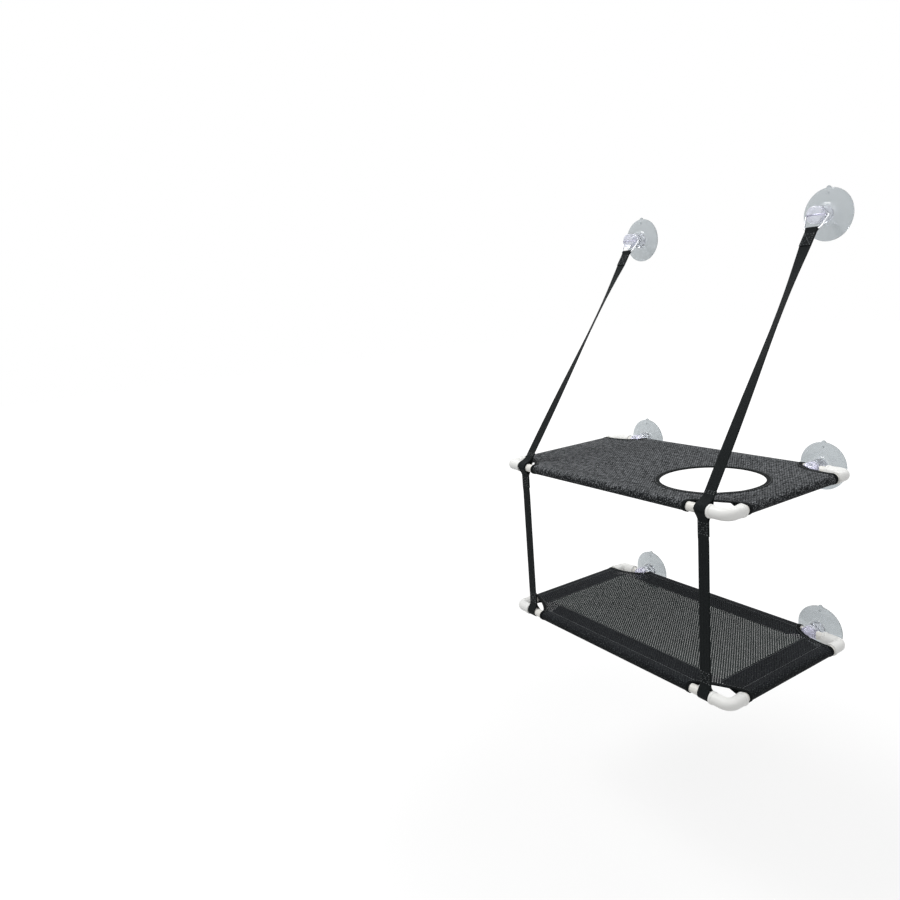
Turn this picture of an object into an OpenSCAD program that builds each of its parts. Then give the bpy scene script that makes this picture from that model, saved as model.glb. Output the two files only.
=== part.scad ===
// Window perch with two mesh decks, held on the glass by six suction cups.
// X runs along the window, +Y points at the glass and +Z is up. The origin lies on the glass,
// midway between the two columns of cups, level with the lower deck's rails.

/* [Decks] */
// Distance between the axes of a deck's two side rails
rail_span = 550; // [420:10:700]
// Distance between the axes of a deck's front and window rails
deck_depth = 322; // [270:2:420]
// Height from the lower deck's rails to the upper deck's rails
deck_spacing = 325; // [260:5:420]
// Distance from the glass to the axis of each window rail
glass_gap = 32; // [28:1:44]

/* [Frame tubes] */
// Outside diameter of the tube
tube_d = 16; // [13:0.5:19]
// Wall of the tube
tube_wall = 1.6; // [1:0.1:2.4]

/* [Elbows] */
// Wall of the elbow over the tube
elbow_wall = 2.6; // [1.8:0.1:3.6]
// Radius of the bend on its centre line
elbow_bend = 13; // [12.8:0.2:15]
// Distance from the corner of the rail axes to the mouth of a socket
elbow_reach = 35; // [31:0.5:37]
// Depth of a socket
socket_depth = 20; // [14:0.5:21]
// Height of the bead round the mouth of a socket
bead_rise = 0.9; // [0.4:0.1:1.6]
// Length of the bead
bead_len = 5; // [3:0.5:7]

/* [Suction cups] */
// Diameter of the cup
cup_d = 90; // [76:1:104]
// Thickness of the rim
cup_lip = 1.6; // [1:0.1:2.4]
// Height of the dish where it meets the neck
cup_dome = 6.2; // [5:0.1:8]
// Depth of the hollow that holds the vacuum
cup_hollow = 2.4; // [1.2:0.1:3]
// Width of the flat sealing band inside the rim
cup_seal = 4; // [2.5:0.5:7]
// Diameter of the neck
neck_d = 30; // [26:0.5:32]
// Rubber left in front of the rail's bore
neck_nose = 5.8; // [4:0.2:9]
// Distance from a side rail's axis to the cup's axis
cup_inset = 61; // [58:0.5:72]
// Height from the upper deck's rails to the top cups
cup_rise = 448; // [340:2:520]

/* [Wire bails] */
// Diameter of the wire
wire_d = 3; // [2:0.1:4]
// Width of the bail at the cup, between wire axes
bail_top_w = 43; // [40:0.5:50]
// Width of the bail at the strap, between wire axes
bail_low_w = 29; // [28:0.5:36]
// Distance between the two cross bars
bail_drop = 28; // [24:0.5:34]
// Bend radius of the wire on its centre line
bail_bend = 4; // [3:0.25:6]

/* [Webbing] */
// Width of the straps
web_w = 22; // [16:0.5:24]
// Thickness of one layer
web_t = 1.4; // [0.9:0.1:1.8]
// Distance from a side rail's axis to the middle of the strap
strap_inset = 47; // [46.5:0.5:49]
// Length of the doubled, sewn stretch next to each loop
sewn_len = 34; // [22:1:48]
// Greatest roll of a slanted strap between its ends, in degrees
strap_roll = 30; // [0:1:45]

/* [Mesh covers] */
// Thickness of the mesh
mesh_t = 0.9; // [0.6:0.1:1.4]
// Width of the doubled hem on the lower deck, from the rail's axis
lower_hem_w = 50; // [30:1:64]
// Greatest width of the doubled hem on the upper deck, which stops short of the hole
upper_hem_w = 32; // [26:1:38]
// Length of a corner cut-out along the long rails
bite_long = 81; // [80:1:95]
// Length of a corner cut-out along the side rails
bite_short = 40; // [38.5:0.5:56]
// Width of the binding round the cut-outs
tape_w = 8; // [5:0.5:11]
// Thickness of one layer of the binding
tape_t = 0.6; // [0.4:0.1:0.9]

/* [Hole in the upper deck] */
// Clear diameter of the hole
hole_d = 180; // [140:2:200]
// Distance of the hole's centre from the right rail's axis
hole_inset = 136; // [134:1:200]
// Distance of the hole's centre behind the front rail's axis
hole_y = 134; // [130:1:170]
// Width of the binding round the hole
hole_tape_w = 9; // [6:0.5:14]

/* [Hidden] */

// Clearances and small places of the fits
turn_gap = 0.05;      // rail in a cup's neck, and wire in its bore
socket_gap = 0.05;    // tube in an elbow's socket
end_gap = 0.2;        // tube's end to the bottom of the socket
sleeve_gap = 0.3;     // mesh round a rail
loop_gap = 0.3;       // webbing round a rail or a bar
sheet_gap = 0.05;     // binding over the mesh
layer_gap = 0.12;     // between two layers of one strap
wire_swell = 0.02;    // how much the wire's bends stand out from its straights
wire_lap = 0.2;       // how far a straight runs into a bend
overrun = 1;          // how far a cut runs past the face that it cuts

// Places of the rails and cups
side_x = rail_span / 2;
window_y = -glass_gap;
front_y = window_y - deck_depth;
upper_z = deck_spacing;
top_z = upper_z + cup_rise;
cup_x = side_x - cup_inset;
strap_x = side_x - strap_inset;

// Elbow
tube_r = tube_d / 2;
socket_r = tube_r + socket_gap;
elbow_r = tube_r + elbow_wall;
bead_r = elbow_r + bead_rise;
socket_stop = elbow_reach - socket_depth;
tube_end = socket_stop + end_gap;

// Cup
cup_r = cup_d / 2;
neck_r = neck_d / 2;
neck_top = glass_gap + tube_r + neck_nose;
neck_round = neck_nose * 0.7;
flare_r = neck_r * 0.6;
flare_end = neck_r + flare_r;
seal_r = cup_r - cup_seal;
dome_power_share = 1.6;
tab_w = cup_d * 0.1;
tab_reach = cup_d * 0.035;
nub_d = tab_w * 0.5;
nub_rise = cup_lip * 0.9;
nub_place = cup_r - cup_seal - nub_d * 1.1;

// Webbing: the line of a slanted strap runs from the upper front rail to the bail's lower bar
slant_rise = [0, window_y - front_y, cup_rise];
slant_angle = atan2(slant_rise[2], slant_rise[1]);
slant_len = norm(slant_rise) - bail_drop;
ring_in = tube_r + loop_gap;
ring_out = ring_in + web_t;
drop_tip = ring_out * 1.65;
ring_steps = 48;
hug_r = ring_out + loop_gap + web_t / 2;
hug_front = [54, 122];   // where the saddle meets and leaves the rail's front, in degrees from the strap
hug_back = [-54, -80];   // the same behind the rail, short of the drop strap
bar_r = wire_d / 2 + loop_gap + web_t / 2;   // middle of the webbing round the bail's bar

// Mesh cover
sleeve_in = tube_r + sleeve_gap;
sleeve_out = sleeve_in + mesh_t;
sheet_low = sleeve_in;
sheet_top = sleeve_out;
hole_r = hole_d / 2;
hole_x = side_x - hole_inset;
hem_clear = 1;   // between the upper hem and the hole's binding
hole_room = min([hole_inset, hole_y, deck_depth - hole_y]) - hole_r - hole_tape_w;
upper_hem = min(upper_hem_w, hole_room - mesh_t - hem_clear);
// Shares of bite_long and bite_short that a cut-out takes, and how square its curve is
front_shares = [0.95, 1.05, 1.3];
window_shares = [1, 1, 1.8];
tape_under_share = 0.5;       // width of the binding under the mesh, as a share of its width on top
bite_steps = 20;

round_fn = 64;
small_fn = 32;
hole_fn = 96;
$fn = round_fn;

// Points of an arc in a plane, from one angle to another
function arc(centre, r, from, to, steps) =
    [for (i = [0:steps]) let (a = from + (to - from) * i / steps) centre + r * [cos(a), sin(a)]];

// Where the tangent from a point beyond a circle touches it, on the side given by sign
function touch(r, p, side) =
    let (a = atan2(p[1], p[0]) + side * acos(r / norm(p))) [r * cos(a), r * sin(a)];

// Points of a quadratic curve
function bow(a, b, c, steps) =
    [for (i = [0:steps]) let (s = i / steps) a * (1 - s) * (1 - s) + b * 2 * s * (1 - s) + c * s * s];

function unit(v) = v / norm(v);

// A flat outline in Y and Z, drawn out along X about its middle
module spread_x(width) {
    rotate([90, 0, 90]) linear_extrude(height = width, center = true) children();
}

// Frame tubes

module rail(length) {
    difference() {
        cylinder(r = tube_r, h = length, center = true);
        cylinder(r = tube_r - tube_wall, h = length + 2 * overrun, center = true);
    }
}

module long_rail(y, z) {
    color("ivory") translate([0, y, z]) rotate([0, 90, 0]) rail(rail_span - 2 * tube_end);
}

module side_rail(side, z) {
    color("ivory") translate([side * side_x, (front_y + window_y) / 2, z])
        rotate([90, 0, 0]) rail(deck_depth - 2 * tube_end);
}

// Elbow with a socket along +X and one along +Y, its corner at the origin

module socket_shell() {
    rotate([0, 90, 0]) rotate_extrude() polygon(concat(
        [[0, elbow_bend], [elbow_r, elbow_bend], [elbow_r, elbow_reach - bead_len]],
        arc([elbow_r, elbow_reach - bead_len + bead_rise], bead_rise, -90, 0, 4),
        arc([elbow_r, elbow_reach - bead_rise], bead_rise, 0, 90, 4),
        [[0, elbow_reach]]));
}

module socket_bore() {
    translate([socket_stop, 0, 0]) rotate([0, 90, 0]) cylinder(r = socket_r, h = socket_depth + overrun);
}

module bend(r) {
    translate([elbow_bend, elbow_bend, 0]) rotate([0, 0, 180]) rotate_extrude(angle = 90)
        translate([elbow_bend, 0]) circle(r = r);
}

module passage() {
    bend(tube_r - tube_wall);
    translate([elbow_bend, 0, 0]) rotate([0, 90, 0])
        cylinder(r = tube_r - tube_wall, h = socket_stop - elbow_bend + overrun);
}

module elbow_solid() {
    difference() {
        union() {
            bend(elbow_r);
            socket_shell();
            mirror([1, -1, 0]) socket_shell();
        }
        socket_bore();
        mirror([1, -1, 0]) socket_bore();
        passage();
        mirror([1, -1, 0]) passage();
    }
}

// side is -1 on the left and 1 on the right; back is 1 at the window and -1 at the front
module elbow(side, back, z) {
    color("white") translate([side * side_x, back > 0 ? window_y : front_y, z])
        mirror([side > 0 ? 1 : 0, 0, 0]) mirror([0, back > 0 ? 1 : 0, 0]) elbow_solid();
}

// Suction cup, drawn with the glass at z = 0 and its neck along +Z

function dish(r) =
    cup_lip + (cup_dome - cup_lip) * (1 - pow((r - flare_end) / (cup_r - flare_end), dome_power_share));

function hollow(r) = cup_hollow * (1 - pow(r / seal_r, 2));

module cup_body() {
    dish_steps = 6;
    rotate_extrude() polygon(concat(
        [[0, neck_top]],
        arc([neck_r - neck_round, neck_top - neck_round], neck_round, 90, 0, 6),
        arc([flare_end, cup_dome + flare_r], flare_r, 180, 270, 8),
        [for (i = [1:dish_steps]) let (r = flare_end + (cup_r - flare_end) * i / dish_steps) [r, dish(r)]],
        [[cup_r, 0], [seal_r, 0]],
        [for (i = [dish_steps - 1:-1:0]) let (r = seal_r * i / dish_steps) [r, hollow(r)]]));
}

// Tongue and nub at the top of the rim, by which the cup is peeled off
module cup_tab() {
    linear_extrude(height = cup_lip) translate([0, cup_r - tab_w / 2 + tab_reach]) {
        circle(d = tab_w, $fn = small_fn);
        translate([-tab_w / 2, -tab_w / 2]) square([tab_w, tab_w / 2]);
    }
    translate([0, nub_place, 0]) cylinder(d = nub_d, h = dish(nub_place) + nub_rise, $fn = small_fn);
}

module cup(x, z, bore_r) {
    color([0.75, 0.8, 0.84, 0.6]) translate([x, 0, z]) rotate([90, 0, 0]) difference() {
        union() {
            cup_body();
            cup_tab();
        }
        translate([0, 0, glass_gap]) rotate([0, 90, 0])
            cylinder(r = bore_r, h = neck_d + 2 * overrun, center = true);
    }
}

module rail_cup(side, z) {
    cup(side * cup_x, z, tube_r + turn_gap);
}

module top_cup(side) {
    cup(side * cup_x, top_z, wire_d / 2 + turn_gap);
}

// Wire bail: a closed loop of bent wire in the XY plane, its corners in turn, anticlockwise

function turn(prev, here, next) = acos(unit(here - prev) * unit(next - here));
function heading(from, to) = atan2(to[1] - from[1], to[0] - from[0]);

// The straights are drawn a hair thinner than the bends and end just inside them
module wire_run(from, to, cut_from, cut_to) {
    translate(concat(from + unit(to - from) * (cut_from - wire_lap), [0])) rotate([0, 0, heading(from, to)])
        rotate([0, 90, 0]) cylinder(r = wire_d / 2 - wire_swell,
            h = norm(to - from) - cut_from - cut_to + 2 * wire_lap, $fn = small_fn);
}

module wire_corner(prev, here, next) {
    t = turn(prev, here, next);
    start = heading(prev, here) - 90;
    middle = unit(unit(next - here) + unit(prev - here));
    translate(concat(here + middle * bail_bend / cos(t / 2), [0])) rotate([0, 0, start])
        rotate_extrude(angle = t) translate([bail_bend, 0]) circle(d = wire_d, $fn = small_fn);
}

module wire_loop(corners) {
    n = len(corners);
    cuts = [for (i = [0:n - 1])
        bail_bend * tan(turn(corners[(i + n - 1) % n], corners[i], corners[(i + 1) % n]) / 2)];
    for (i = [0:n - 1]) {
        wire_run(corners[i], corners[(i + 1) % n], cuts[i], cuts[(i + 1) % n]);
        wire_corner(corners[(i + n - 1) % n], corners[i], corners[(i + 1) % n]);
    }
}

module bail(side) {
    color("silver") translate([side * cup_x, window_y, top_z]) rotate([slant_angle, 0, 0])
        wire_loop([[bail_top_w / 2, 0], [-bail_top_w / 2, 0],
            [-bail_low_w / 2, -bail_drop], [bail_low_w / 2, -bail_drop]]);
}

// Slanted strap. Its path runs in a plane: the first number of a point is the distance from the
// upper front rail along the strap, the second is the height over the strap's own line.

web_step = (web_t + layer_gap) / 2;   // from the middle of a doubled strap to each layer
web_lap = (web_t - layer_gap) / 2;    // the same where the two layers are sewn into one
run_top = slant_len - sewn_len;
run_foot = sewn_len;
run_steps = 20;

// A row of the ribbon is a point of the path, its roll and its share of the sideways shift
function flat_rows(points, share) = [for (p = points) [p, 0, share]];

bar_rows = flat_rows(concat(
    [[run_top, web_step]],
    bow([slant_len - bar_r * 3, web_step], [slant_len - bar_r * 2, web_step],
        [slant_len - bar_r * 0.5, bar_r * 0.87], 4),
    arc([slant_len, 0], bar_r, 120, -120, 12),
    bow([slant_len - bar_r * 0.5, -bar_r * 0.87], [slant_len - bar_r * 2, -web_step],
        [slant_len - bar_r * 3, -web_step], 4),
    [[run_top, -web_step]]), 1);

function roll_at(s) = -strap_roll * sin(180 * pow(1 - s, 2));

run_rows = [for (i = [1:run_steps]) let (s = i / run_steps)
    [[run_top + (run_foot - run_top) * s, web_lap * s - web_step * (1 - s)], roll_at(s), 1 - s]];

// The sewn end splits into a saddle over the front of the rail and one behind it
function saddle_rows(angles, over) = flat_rows(concat(
    bow([hug_r * 2.4, over], [hug_r / cos(angles[0]), over], hug_r * [cos(angles[0]), sin(angles[0])], 6),
    arc([0, 0], hug_r, angles[0], angles[1], 8)), 0);

// Direction of the path at a row
function row_way(rows, i) =
    unit(rows[min(i + 1, len(rows) - 1)][0] - rows[max(i - 1, 0)][0]);

// Four corners of the webbing's section at a row
function row_corners(rows, i, shift) =
    let (p = rows[i][0], way = row_way(rows, i), a = rows[i][1])
    [for (c = [[-1, -1], [1, -1], [1, 1], [-1, 1]])
        let (across = c[0] * web_w / 2, over = c[1] * web_t / 2,
            n = across * sin(a) + over * cos(a))
        [across * cos(a) - over * sin(a) + shift * rows[i][2], p[0] - n * way[1], p[1] + n * way[0]]];

module ribbon(rows, shift) {
    last = len(rows) - 1;
    points = [for (i = [0:last]) each row_corners(rows, i, shift)];
    walls = [for (i = [0:last - 1], k = [0:3])
        let (a = 4 * i + k, b = 4 * i + (k + 1) % 4) each [[a, b, b + 4], [a, b + 4, a + 4]]];
    polyhedron(points, concat(walls, [[3, 2, 1, 0]],
        [[4 * last, 4 * last + 1, 4 * last + 2, 4 * last + 3]]), convexity = 6);
}

module slant_strap(side) {
    shift = side * (cup_x - strap_x);
    color([0.12, 0.13, 0.13]) translate([side * strap_x, front_y, upper_z]) rotate([slant_angle, 0, 0]) {
        ribbon(concat(bar_rows, run_rows, saddle_rows(hug_front, web_lap)), shift);
        ribbon(concat(flat_rows([[run_foot, -web_lap]], 0), saddle_rows(hug_back, -web_lap)), shift);
    }
}

// Drop strap: one profile with a sewn loop round each front rail

module teardrop(r, tip) {
    open = acos(r / tip);
    polygon(concat([[0, tip]], arc([0, 0], r, 90 + open, 450 - open, ring_steps)));
}

module drop_end() {
    difference() {
        union() {
            teardrop(ring_out, drop_tip + web_t);
            translate([-web_step - web_t / 2, 0]) square([2 * web_step + web_t, ring_out + sewn_len]);
        }
        teardrop(ring_in, drop_tip - web_t);
    }
}

module drop_strap(side) {
    color([0.12, 0.13, 0.13]) translate([side * strap_x, front_y, 0]) spread_x(web_w) {
        drop_end();
        translate([0, upper_z]) mirror([0, 1]) drop_end();
        translate([-web_t / 2, ring_out + sewn_len / 2])
            square([web_t, deck_spacing - 2 * ring_out - sewn_len]);
    }
}

// Mesh cover. A corner cut-out is a squarish arc about the corner of the rail axes.

// Its edge from the long rail to the side rail, set off by a width along its own normals
function bite_edge(shares, grow) = [for (i = [0:bite_steps])
    let (a = 90 * i / bite_steps, e = 2 / shares[2],
        long = bite_long * shares[0], short = bite_short * shares[1])
    [long * pow(cos(a), e), short * pow(sin(a), e)]
        + grow * unit([pow(cos(a), 2 - e) / long, pow(sin(a), 2 - e) / short])];

function bite_shares(back) = back > 0 ? window_shares : front_shares;

// Puts a corner drawn at the origin, inward along +X and +Y, at its corner of the deck
module at_corner(side, back) {
    translate([side * side_x, back > 0 ? window_y : front_y])
        mirror([side > 0 ? 1 : 0, 0]) mirror([0, back > 0 ? 1 : 0]) children();
}

module bite(back, grow) {
    reach = sleeve_out + overrun;
    shares = bite_shares(back);
    polygon(concat(
        [[-reach, -reach], [bite_long * shares[0] + grow, -reach]], bite_edge(shares, grow),
        [[-reach, bite_short * shares[1] + grow]]));
}

module sheet_outline() {
    difference() {
        translate([-side_x, front_y]) square([rail_span, deck_depth]);
        for (side = [-1, 1], back = [-1, 1]) at_corner(side, back) bite(back, 0);
    }
}

// Section of a sleeve with its doubled hem: the rail's axis at the origin, the deck along +X
function sleeve_edge(r, tip) =
    let (foot = touch(r, tip, -1), end = 360 + atan2(foot[1], foot[0]))
    concat(arc([0, 0], r, 90, end, ring_steps), [tip]);

module sleeve_outline(hem_w) {
    difference() {
        polygon(concat(sleeve_edge(sleeve_out, [hem_w + mesh_t, sheet_low]), [[hem_w + mesh_t, sheet_top]]));
        polygon(sleeve_edge(sleeve_in, [hem_w, sheet_low]));
    }
}

module sleeve(length, hem_w) {
    rotate([90, 0, 0]) linear_extrude(height = length, center = true) sleeve_outline(hem_w);
}

module cover(z, hem_w) {
    front_end = front_y + bite_short * front_shares[1];
    window_end = window_y - bite_short * window_shares[1];
    translate([0, 0, z]) {
        translate([0, 0, sheet_low]) linear_extrude(height = mesh_t) difference() {
            sheet_outline();
            children();
        }
        translate([0, front_y, 0]) rotate([0, 0, 90])
            sleeve(rail_span - 2 * bite_long * front_shares[0], hem_w);
        translate([0, window_y, 0]) rotate([0, 0, -90])
            sleeve(rail_span - 2 * bite_long * window_shares[0], hem_w);
        for (side = [0, 1])
            mirror([side, 0, 0]) translate([-side_x, (front_end + window_end) / 2, 0])
                sleeve(window_end - front_end, hem_w);
    }
}

module upper_cover() {
    color([0.27, 0.27, 0.29]) cover(upper_z, upper_hem)
        translate([hole_x, front_y + hole_y]) circle(r = hole_r + tape_t, $fn = hole_fn);
}

module lower_cover() {
    color([0.24, 0.24, 0.26]) cover(0, lower_hem_w);
}

// Bindings: a tape folded over the edge of the mesh
module hole_binding() {
    over = sheet_gap + tape_t;
    color([0.06, 0.06, 0.07]) translate([hole_x, front_y + hole_y, upper_z + sheet_low])
        rotate_extrude($fn = hole_fn) difference() {
            translate([hole_r, -over]) square([hole_tape_w, mesh_t + 2 * over]);
            translate([hole_r + tape_t - sheet_gap, -sheet_gap])
                square([hole_tape_w, mesh_t + 2 * sheet_gap]);
        }
}

// Band along a corner's cut-out, from one distance off its edge to another
module edge_band(side, back, from, to, low, high) {
    shares = bite_shares(back);
    outer = bite_edge(shares, to);
    translate([0, 0, low]) linear_extrude(height = high - low) at_corner(side, back)
        polygon(concat(bite_edge(shares, from), [for (i = [bite_steps:-1:0]) outer[i]]));
}

module binding(side, back, z) {
    over = sheet_gap + tape_t;
    color([0.06, 0.06, 0.07]) translate([0, 0, z + sheet_low]) difference() {
        edge_band(side, back, -over, tape_w, -over, mesh_t + over);
        edge_band(side, back, -sheet_gap, tape_w + overrun, -sheet_gap, mesh_t + sheet_gap);
        edge_band(side, back, tape_w * tape_under_share, tape_w + overrun, -over - overrun, mesh_t / 2);
        translate([side * side_x, back > 0 ? window_y : front_y, -sheet_low]) {
            rotate([0, 90, 0]) cylinder(r = tube_r + sheet_gap, h = 4 * bite_long, center = true);
            rotate([90, 0, 0]) cylinder(r = tube_r + sheet_gap, h = 4 * bite_long, center = true);
        }
    }
}

top_cup(-1);  // cup_top_left
top_cup(1);  // cup_top_right
rail_cup(-1, upper_z);  // cup_upper_left
rail_cup(1, upper_z);  // cup_upper_right
rail_cup(-1, 0);  // cup_lower_left
rail_cup(1, 0);  // cup_lower_right
bail(-1);  // bail_left
bail(1);  // bail_right
slant_strap(-1);  // slant_strap_left
slant_strap(1);  // slant_strap_right
drop_strap(-1);  // drop_strap_left
drop_strap(1);  // drop_strap_right
long_rail(front_y, upper_z);  // upper_front_rail
long_rail(window_y, upper_z);  // upper_window_rail
side_rail(-1, upper_z);  // upper_left_rail
side_rail(1, upper_z);  // upper_right_rail
elbow(-1, -1, upper_z);  // upper_elbow_front_left
elbow(1, -1, upper_z);  // upper_elbow_front_right
elbow(-1, 1, upper_z);  // upper_elbow_window_left
elbow(1, 1, upper_z);  // upper_elbow_window_right
upper_cover();
hole_binding();  // upper_hole_binding
binding(-1, -1, upper_z);  // upper_binding_front_left
binding(1, -1, upper_z);  // upper_binding_front_right
binding(-1, 1, upper_z);  // upper_binding_window_left
binding(1, 1, upper_z);  // upper_binding_window_right
long_rail(front_y, 0);  // lower_front_rail
long_rail(window_y, 0);  // lower_window_rail
side_rail(-1, 0);  // lower_left_rail
side_rail(1, 0);  // lower_right_rail
elbow(-1, -1, 0);  // lower_elbow_front_left
elbow(1, -1, 0);  // lower_elbow_front_right
elbow(-1, 1, 0);  // lower_elbow_window_left
elbow(1, 1, 0);  // lower_elbow_window_right
lower_cover();
binding(-1, -1, 0);  // lower_binding_front_left
binding(1, -1, 0);  // lower_binding_front_right
binding(-1, 1, 0);  // lower_binding_window_left
binding(1, 1, 0);  // lower_binding_window_right
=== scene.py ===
import math

import bmesh
import bpy
from mathutils import Matrix, Vector
from mathutils.geometry import delaunay_2d_cdt


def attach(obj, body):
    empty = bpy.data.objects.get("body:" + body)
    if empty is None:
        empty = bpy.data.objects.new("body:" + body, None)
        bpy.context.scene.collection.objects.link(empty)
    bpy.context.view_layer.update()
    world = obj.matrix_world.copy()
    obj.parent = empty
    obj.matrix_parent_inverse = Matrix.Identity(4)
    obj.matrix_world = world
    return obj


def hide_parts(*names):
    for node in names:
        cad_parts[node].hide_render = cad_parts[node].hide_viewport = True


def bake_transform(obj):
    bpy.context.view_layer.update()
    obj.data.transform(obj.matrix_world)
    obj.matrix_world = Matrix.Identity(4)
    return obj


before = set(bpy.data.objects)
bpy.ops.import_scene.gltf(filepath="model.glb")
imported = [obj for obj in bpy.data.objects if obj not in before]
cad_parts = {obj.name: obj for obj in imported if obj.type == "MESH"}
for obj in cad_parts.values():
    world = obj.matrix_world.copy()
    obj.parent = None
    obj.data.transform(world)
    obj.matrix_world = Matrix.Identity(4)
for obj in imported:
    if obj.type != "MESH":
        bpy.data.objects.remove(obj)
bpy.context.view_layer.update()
print("frame loaded")

mm = 0.001

# Sizes that the pieces share with the solids, in millimetres. A bite is a corner's cut-out: how far it
# reaches along the long rail and along the side rail, and how round its curve is.
deck = {
    "span": 550, "depth": 322, "spacing": 325, "glassGap": 32,
    "tube": 8, "sleeveIn": 8.3, "cloth": 0.9,
    "frontBite": (76.95, 42, 1.3), "windowBite": (81, 40, 1.8),
    "hem": {"upper": 32, "lower": 50},
}
sideX = deck["span"] / 2
windowY = -deck["glassGap"]
frontY = windowY - deck["depth"]
levels = {"upper": deck["spacing"], "lower": 0}

# The photograph's viewpoint, in metres and degrees, with lens and sensor in millimetres
view = {"place": (0.98474, -1.28445, 0.69574), "yaw": 58.30, "pitch": 11.90, "roll": -4.92,
        "lens": 29.730, "sensor": 36, "near": 0.01, "far": 50}


def makeCamera():
    yaw, pitch, roll = (math.radians(view[key]) for key in ("yaw", "pitch", "roll"))
    ahead = Vector((-math.sin(yaw) * math.cos(pitch), math.cos(yaw) * math.cos(pitch), -math.sin(pitch)))
    levelRight = Vector((math.cos(yaw), math.sin(yaw), 0))
    levelUp = levelRight.cross(ahead)
    right = math.cos(roll) * levelRight + math.sin(roll) * levelUp
    up = -math.sin(roll) * levelRight + math.cos(roll) * levelUp
    data = bpy.data.cameras.new("camera")
    data.lens = view["lens"]
    data.sensor_width = view["sensor"]
    data.clip_start = view["near"]
    data.clip_end = view["far"]
    camera = bpy.data.objects.new("camera", data)
    camera.matrix_world = Matrix.Translation(view["place"]) @ Matrix((right, up, -ahead)).transposed().to_4x4()
    bpy.context.scene.collection.objects.link(camera)
    bpy.context.scene.camera = camera


makeCamera()


def toLinear(hexColour):
    parts = [int(hexColour[i:i + 2], 16) / 255 for i in (1, 3, 5)]
    return tuple(c / 12.92 if c <= 0.04045 else ((c + 0.055) / 1.055) ** 2.4 for c in parts) + (1,)


def addNode(tree, kind, settings=None, inputs=None):
    node = tree.nodes.new(kind)
    for key, value in (settings or {}).items():
        setattr(node, key, value)
    for key, value in (inputs or {}).items():
        if isinstance(value, bpy.types.NodeSocket):
            tree.links.new(value, node.inputs[key])
        else:
            node.inputs[key].default_value = value
    return node


def startMaterial(name):
    material = bpy.data.materials.new(name)
    material.use_nodes = True
    tree = material.node_tree
    tree.nodes.clear()
    return material, tree


def finishMaterial(tree, inputs):
    shader = addNode(tree, "ShaderNodeBsdfPrincipled", None, inputs)
    addNode(tree, "ShaderNodeOutputMaterial", None, {"Surface": shader.outputs[0]})


# In all materials lengths are in millimetres, and a rate is a pattern's repeats per metre.
mesh = {
    "holes": (5.0, 7.1), "loops": (2.4, 2.4),  # spacing of the holes and of the yarn's loops
    "yarnRate": 420, "cloudRate": 14,  # hairs of 2.4 mm, clouds of 70 mm
    "fleckRate": (200, 90, 0),  # flecks 5 mm wide and 11 mm long, from front to window
    "fray": 0.24, "edgeSoft": 0.12,  # how ragged and how soft the holes' edges are
    "closedTo": 10, "openFrom": 14,  # measured in from a rail's axis, as the next two rows are
    "crown": 3, "crownOpen": 0.45,
    # painted shade round each rail, from just past its crown to its underside
    "underShadeFrom": -4, "underShadeTo": -15, "underShadeDark": 0.75,
    "ridgeFrom": -0.3, "loopLift": 0.15, "cloudLift": 0.5,
    "glintFrom": 0.57, "glintTo": 0.75, "relief": 0.5,
}
# Painted shade: both decks are the same cloth, and the lower deck's look is drawn darker because it lies in the upper
# deck's shade.
clothLooks = {
    "upper": {"strand": "#717376", "litSingle": "#737578", "shadeAndDarkYarn": "#121517", "glint": "#94979a",
              "holeEdge": 0.5, "fleck": 3.2, "ridge": 0.9, "ground": 0.6},
    "lower": {"strand": "#26282d", "litSingle": "#3c4342", "shadeAndDarkYarn": "#0f1113", "glint": "#4f5554",
              "holeEdge": 0.49, "fleck": 0.8, "ridge": 0.65, "ground": 0.15},
}


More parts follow.
